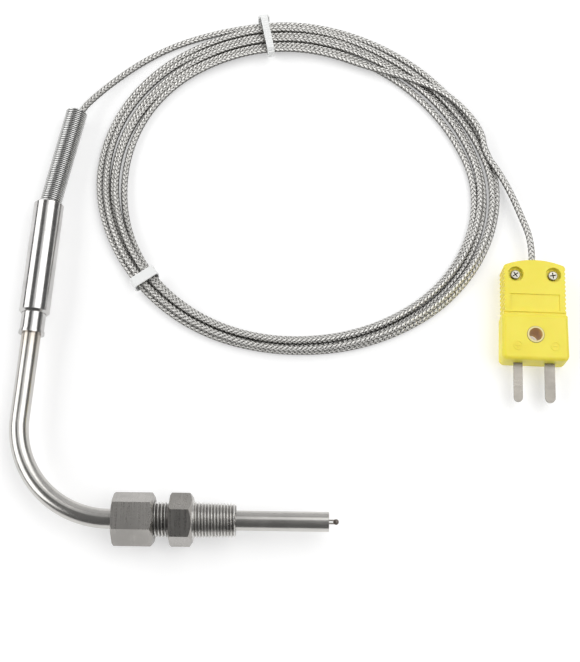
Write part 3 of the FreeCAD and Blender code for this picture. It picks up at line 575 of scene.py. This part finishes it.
def steel(name, tone, roughness, stretch, line_scale, line_depth):
    """Metal with drawn or turned lines, stained a little, worn unevenly."""
    s = Surface(name, tone, 1.0, roughness)
    lines = s.noise(line_scale, 4.0, stretch)
    blotch = s.noise(120.0, 4.0)
    fine = s.noise(1500.0, 2.0)
    dark = tuple(c * 0.8 for c in tone)
    s.color(s.blend(s.spread(blotch, 0.35, 0.7), tone, dark))
    rough = s.math("ADD", s.spread(lines, 0.3, 0.7, roughness - 0.06, roughness + 0.07),
                   s.spread(fine, 0.3, 0.7, -0.02, 0.02))
    s.roughness(s.math("ADD", rough, s.spread(blotch, 0.4, 0.7, 0.0, 0.06)))
    s.bump(lines, line_depth)
    return s


def plain_steel(name, tone, roughness):
    """Bright small metal part with fine scratches."""
    s = Surface(name, tone, 1.0, roughness)
    fine = s.noise(900.0, 5.0)
    s.roughness(s.spread(fine, 0.3, 0.7, roughness - 0.06, roughness + 0.08))
    s.color(s.blend(s.spread(s.noise(260.0), 0.4, 0.75), tone, tuple(c * 0.72 for c in tone)))
    s.bump(fine, 0.012)
    return s


THREAD_ROOT_R = (4.72 * MM, 5.12 * MM)     # painted shade in a groove is full at the first radius and gone at the second
TURNED_R = (5.6 * MM, 6.3 * MM)            # turned metal gives way to the hexagon's flats
PIPE_THREAD_START = 6.9 * MM
PIPE_THREAD_TAPER = 1.0 / 32.0


def threaded_steel():
    """Fitting steel with painted shade in the roots between the crests of its two threads."""
    s = steel("threaded_fitting_steel", FITTING_TONE, 0.27, ACROSS_X, 2600.0, 0.012)
    radius = s.off_axis(middle_of("fitting_body"), X_AXIS)
    past = s.math("MAXIMUM", s.math("SUBTRACT", s.coordinate("X"), PIPE_THREAD_START), 0.0)
    level = s.math("ADD", radius, s.math("MULTIPLY", past, PIPE_THREAD_TAPER))
    turned = s.blend(s.spread(level, *TURNED_R), (0.70, 0.69, 0.67), s.base_color())
    # Painted shade: the thread roots are darkened by their distance from the axis.
    s.color(s.blend(s.spread(level, *THREAD_ROOT_R), (0.22, 0.21, 0.20), turned))
    return s


SPRING_FOOT = Vector((-44.05, 33.90, 4.957)) * MM
SPRING_TOP = Vector((-36.70, 71.33, 3.85)) * MM
SPRING_GROOVE_R = (3.22 * MM, 3.46 * MM)
SPRING_END = (0.75 * MM, 0.50 * MM)        # its last turn is a plain bright tone, without the painted groove shade, from here to its top


def spring_surface():
    """Drawn wire, with painted shade where the turns meet."""
    s = Surface("spring_wire", (0.60, 0.60, 0.59), 1.0, 0.26)
    fine = s.noise(1400.0, 3.0)
    s.roughness(s.spread(fine, 0.3, 0.7, 0.22, 0.32))
    axis = SPRING_TOP - SPRING_FOOT
    # Painted shade: the grooves between turns are darkened by their distance from the axis.
    grooved = s.blend(s.spread(s.off_axis(SPRING_FOOT, axis), *SPRING_GROOVE_R),
                      (0.03, 0.028, 0.026), (0.62, 0.62, 0.61))
    last_turn = s.spread(s.along(SPRING_FOOT, axis), *(axis.length - end for end in SPRING_END))
    s.color(s.blend(last_turn, grooved, (0.50, 0.50, 0.49)))
    s.bump(fine, 0.002)
    return s


EYELET_INSIDE_R = (2.04 * MM, 2.12 * MM)
EYELET_EDGE_R = (2.54 * MM, 2.64 * MM)


def eyelet_surface():
    """Cream lining, amber inside the hole and brown round its outer edge."""
    s = plastic("cream_eyelet_plastic", (0.84, 0.76, 0.36), (0.80, 0.70, 0.30), 0.35, 0.006)
    radius = s.off_axis(middle_of("plug_eyelet"), Z_AXIS)
    inside = s.blend(s.spread(radius, *EYELET_INSIDE_R), (0.74, 0.47, 0.12), s.base_color())
    s.color(s.blend(s.spread(radius, *EYELET_EDGE_R), inside, (0.25, 0.14, 0.04)))
    return s


SCREW_SHANK = (-1.03 * MM, -0.88 * MM)     # heights from the top of the head
SCREW_RECESS = (-0.33 * MM, -0.08 * MM)


def cross_screw_surface():
    """Plated screw, with painted shade in its cross recess and round its head's lower edge."""
    s = plain_steel("plated_cover_screw", (0.44, 0.42, 0.36), 0.27)
    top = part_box("cover_screw_left")[1].z
    level = s.math("SUBTRACT", s.coordinate("Z"), top)
    # Painted shade: the cross recess and the head's lower edge are darkened by their depth.
    sunk = s.blend(s.spread(level, *SCREW_SHANK), (0.52, 0.51, 0.49), (0.02, 0.018, 0.015))
    s.color(s.blend(s.spread(level, *SCREW_RECESS), sunk, s.base_color()))
    return s


HEAT_STRAW = (-15.0 * MM, -8.0 * MM)       # Y where the tint starts and where it is full
HEAT_BROWN = (-10.5 * MM, -6.0 * MM)
HEAT_WANDER = (-1.5 * MM, 1.5 * MM)


def sheath_surface():
    """Drawn tube, straw and brown from heat just below the transition ring."""
    tone = (0.60, 0.585, 0.56)
    s = Surface("sheath_drawn_steel", tone, 1.0, 0.24)
    s.color(s.blend(s.spread(s.noise(90.0, 4.0), 0.4, 0.75), tone, (0.50, 0.49, 0.47)))
    s.roughness(s.spread(s.noise(240.0, 3.0), 0.3, 0.7, 0.22, 0.27))
    wander = s.spread(s.noise(160.0), 0.3, 0.7, *HEAT_WANDER)
    level = s.math("ADD", s.coordinate("Y"), wander)
    straw = s.spread(level, *HEAT_STRAW, 0.0, 0.18)
    brown = s.spread(level, *HEAT_BROWN, 0.0, 0.30)
    tinted = s.blend(straw, s.base_color(), (0.46, 0.36, 0.22))
    s.color(s.blend(brown, tinted, (0.20, 0.14, 0.09)))
    return s


WIRES = 5.0                     # in a bundle of the braid


def braid_surface():
    """Fine bright wires in bundles, with painted shade in the gaps of the weave and between the wires, and
    a painted highlight on the bundles' crowns.
    """
    s = Surface("woven_steel_braid", (0.66, 0.65, 0.62), 1.0, 0.3)
    height = s.node("ShaderNodeAttribute", {"attribute_name": "weave_height"}).outputs["Fac"]
    uv = s.node("ShaderNodeUVMap", {"uv_map": "lengthwise"}).outputs["UV"]
    parts = s.node("ShaderNodeSeparateXYZ", Vector=uv)
    turn, length = parts.outputs["X"], parts.outputs["Y"]
    wires = WIRES * BRAID_CARRIERS * 2.0 * math.pi
    lay = s.node("ShaderNodeAttribute", {"attribute_name": "weave_lay"}).outputs["Fac"]
    left = s.math("SINE", s.math("MULTIPLY", s.math("ADD", turn, length), wires))
    right = s.math("SINE", s.math("MULTIPLY", s.math("SUBTRACT", turn, length), wires))
    wire = s.math("ADD", s.math("MULTIPLY", lay, left),
                  s.math("MULTIPLY", s.math("SUBTRACT", 1.0, lay), right))
    grain = s.noise(2500.0, 2.0)
    # Painted shade in the weave's gaps, a painted highlight on its crowns, and painted shade in the lines
    # between the wires.
    gap = s.blend(s.spread(height, 0.42, 0.72), (0.010, 0.009, 0.008), (0.42, 0.41, 0.39))
    crown = s.blend(s.spread(height, 0.66, 0.98), gap, (0.88, 0.87, 0.84))
    lined = s.blend(s.spread(wire, -0.9, -0.2, 0.25, 0.0), crown, (0.10, 0.095, 0.09))
    # Painted shade keeps the flanks of each turn dark, where it lies against its neighbour.
    facing = s.node("ShaderNodeAttribute", {"attribute_name": "facing_up"}).outputs["Fac"]
    s.color(s.blend(s.spread(facing, 0.05, 0.72, 0.80, 0.0), lined, (0.05, 0.047, 0.043)))
    s.roughness(s.spread(grain, 0.3, 0.7, 0.20, 0.34))
    s.bump(wire, 0.02)
    return s


def plastic(name, tone, shade, roughness, grain_depth):
    """Moulded plastic with a fine texture and slightly uneven colour."""
    s = Surface(name, tone, 0.0, roughness)
    s.color(s.blend(s.spread(s.noise(90.0, 4.0), 0.35, 0.7), tone, shade))
    grain = s.noise(4200.0, 2.0)
    s.roughness(s.spread(s.noise(500.0, 3.0), 0.3, 0.7, roughness - 0.05, roughness + 0.08))
    s.bump(grain, grain_depth)
    return s


def yellow_surface():
    """Moulded yellow plastic that light soaks into a little."""
    s = plastic("yellow_plug_plastic", (0.92, 0.80, 0.075), (0.89, 0.76, 0.06), 0.40, 0.012)
    s.shader.inputs["Subsurface Weight"].default_value = 0.3
    s.shader.inputs["Subsurface Radius"].default_value = (0.003, 0.002, 0.0003)
    return s


def nylon_surface():
    """Natural nylon, slightly see-through."""
    s = plastic("natural_nylon", (0.92, 0.93, 0.92), (0.87, 0.88, 0.87), 0.38, 0.01)
    s.shader.inputs["Subsurface Weight"].default_value = 0.35
    s.shader.inputs["Subsurface Radius"].default_value = (0.001, 0.001, 0.001)
    return s


def yarn_surface(name, tone):
    """Glass yarn sleeving with a tight lengthwise lay."""
    s = Surface(name, tone, 0.0, 0.8)
    yarn = s.noise(1800.0, 3.0, (1.0, 0.35, 1.0))
    s.color(s.blend(s.spread(yarn, 0.35, 0.65), tuple(c * 0.6 for c in tone), tone))
    s.bump(yarn, 0.05)
    return s


def powder_surface(name, tone, scale, depth):
    """Pressed powder or cast resin."""
    s = Surface(name, tone, 0.0, 0.85)
    grain = s.noise(scale, 5.0)
    s.color(s.blend(s.spread(grain, 0.35, 0.65), tuple(c * 0.7 for c in tone), tone))
    s.bump(grain, depth)
    return s


SURFACES = {
    "sheath_steel": sheath_surface(),
    "fitting_steel": steel("turned_fitting_steel", FITTING_TONE, 0.27, ACROSS_X, 2600.0, 0.012),
    "ferrule_steel": steel("turned_ferrule_steel", (0.60, 0.60, 0.59), 0.25, ACROSS_X, 2600.0, 0.01),
    "polished_steel": steel("polished_sleeve_steel", (0.62, 0.61, 0.60), 0.14, ACROSS_Y, 1800.0, 0.004),
    "spring_steel": spring_surface(),
    "thermoelement_wire": plain_steel("thermoelement_wire", (0.42, 0.40, 0.37), 0.4),
    "bead_metal": plain_steel("oxidised_bead", (0.24, 0.21, 0.19), 0.5),
    "prong_alloy": steel("stamped_prong_alloy", (0.31, 0.29, 0.26), 0.3, ACROSS_Y, 900.0, 0.008),
    "screw_steel": plain_steel("plated_screw", (0.66, 0.66, 0.66), 0.24),
    "steel_braid": braid_surface(),
    "magnesia": powder_surface("pressed_magnesia", (0.80, 0.77, 0.68), 3000.0, 0.04),
    "potting_resin": powder_surface("potting_resin", (0.05, 0.04, 0.035), 900.0, 0.02),
    "conductor_insulation_green": yarn_surface("green_glass_yarn", (0.05, 0.28, 0.10)),
    "conductor_insulation_white": yarn_surface("white_glass_yarn", (0.78, 0.78, 0.74)),
    "tie_nylon": nylon_surface(),
    "plug_yellow": yellow_surface(),
    "eyelet_cream": eyelet_surface(),
}


def paint(item, slot):
    """Give an object the surface of one of the record's slots."""
    item.data.materials.clear()
    item.data.materials.append(SURFACES[slot].material)


for subpart in frame["record"]["subparts"]:
    node = frame["nodes"][subpart["node"]]
    surface = SURFACES[subpart["material_slot"]].material
    for material_slot in node.material_slots:
        material_slot.material = surface
frame["nodes"]["fitting_body"].material_slots[0].material = threaded_steel().material
cover_screw = cross_screw_surface().material
for screw_name in ("cover_screw_left", "cover_screw_right"):
    frame["nodes"][screw_name].material_slots[0].material = cover_screw
paint(lead, "steel_braid")
for tie in ties:
    paint(tie, "tie_nylon")


# ---------------------------------------------------------------- light and floor
FLOOR_SIZE = 6.0
FLOOR_DROP = 0.2 * MM           # keeps the floor clear of the faces that rest on it
FLOOR_TONE = (0.66, 0.66, 0.66)
FLOOR_GLOW = 0.44               # keeps shadows light
LIGHT_AIM = Vector((0.035, 0.02, 0.0))


def add_floor():
    """Plain pale surface under the object."""
    bpy.ops.mesh.primitive_plane_add(size=FLOOR_SIZE, location=(0.0, 0.0, -FLOOR_DROP))
    floor = bpy.context.object
    floor.name = "floor"
    surface = Surface("pale_floor", FLOOR_TONE, 0.0, 0.75)
    surface.roughness(surface.spread(surface.noise(60.0), 0.3, 0.7, 0.7, 0.8))
    surface.shader.inputs["Emission Color"].default_value = (1.0, 1.0, 1.0, 1.0)
    surface.shader.inputs["Emission Strength"].default_value = FLOOR_GLOW
    floor.data.materials.append(surface.material)


def add_light(name, place, level_size, climb_size, radiance):
    """Softbox of a size and a brightness, aimed at the middle of the object."""
    data = bpy.data.lights.new(name, "AREA")
    data.shape = "RECTANGLE"
    data.size = level_size
    data.size_y = climb_size
    data.energy = radiance * math.pi * level_size * climb_size
    light = bpy.data.objects.new(name, data)
    bpy.context.scene.collection.objects.link(light)
    light.location = place
    light.rotation_euler = (LIGHT_AIM - Vector(place)).to_track_quat("-Z", "Y").to_euler()


def add_world(level, back_level):
    """Dim surrounding light, brighter low down behind the object."""
    world = bpy.data.worlds.new("studio")
    world.use_nodes = True
    nodes, links = world.node_tree.nodes, world.node_tree.links
    background = nodes["Background"]
    background.inputs["Color"].default_value = (1.0, 1.0, 1.0, 1.0)
    direction = nodes.new("ShaderNodeTexCoord").outputs["Generated"]
    parts = nodes.new("ShaderNodeSeparateXYZ")
    links.new(direction, parts.inputs["Vector"])
    ramp = nodes.new("ShaderNodeMapRange")
    links.new(parts.outputs["Y"], ramp.inputs["Value"])
    for key, number in (("From Min", 0.5), ("From Max", 0.9), ("To Min", level), ("To Max", back_level)):
        ramp.inputs[key].default_value = number
    links.new(ramp.outputs["Result"], background.inputs["Strength"])
    bpy.context.scene.world = world


bpy.context.scene.view_settings.view_transform = "Standard"
add_floor()
add_world(level=0.14, back_level=0.65)
add_light("left_softbox", (-0.99, 0.10, 0.67), level_size=1.8, climb_size=0.78, radiance=2.3)
add_light("right_softbox", (0.66, 0.10, 1.02), level_size=1.7, climb_size=0.95, radiance=2.2)
add_light("back_panel", (0.03, 0.38, 1.14), level_size=0.34, climb_size=0.8, radiance=0.8)
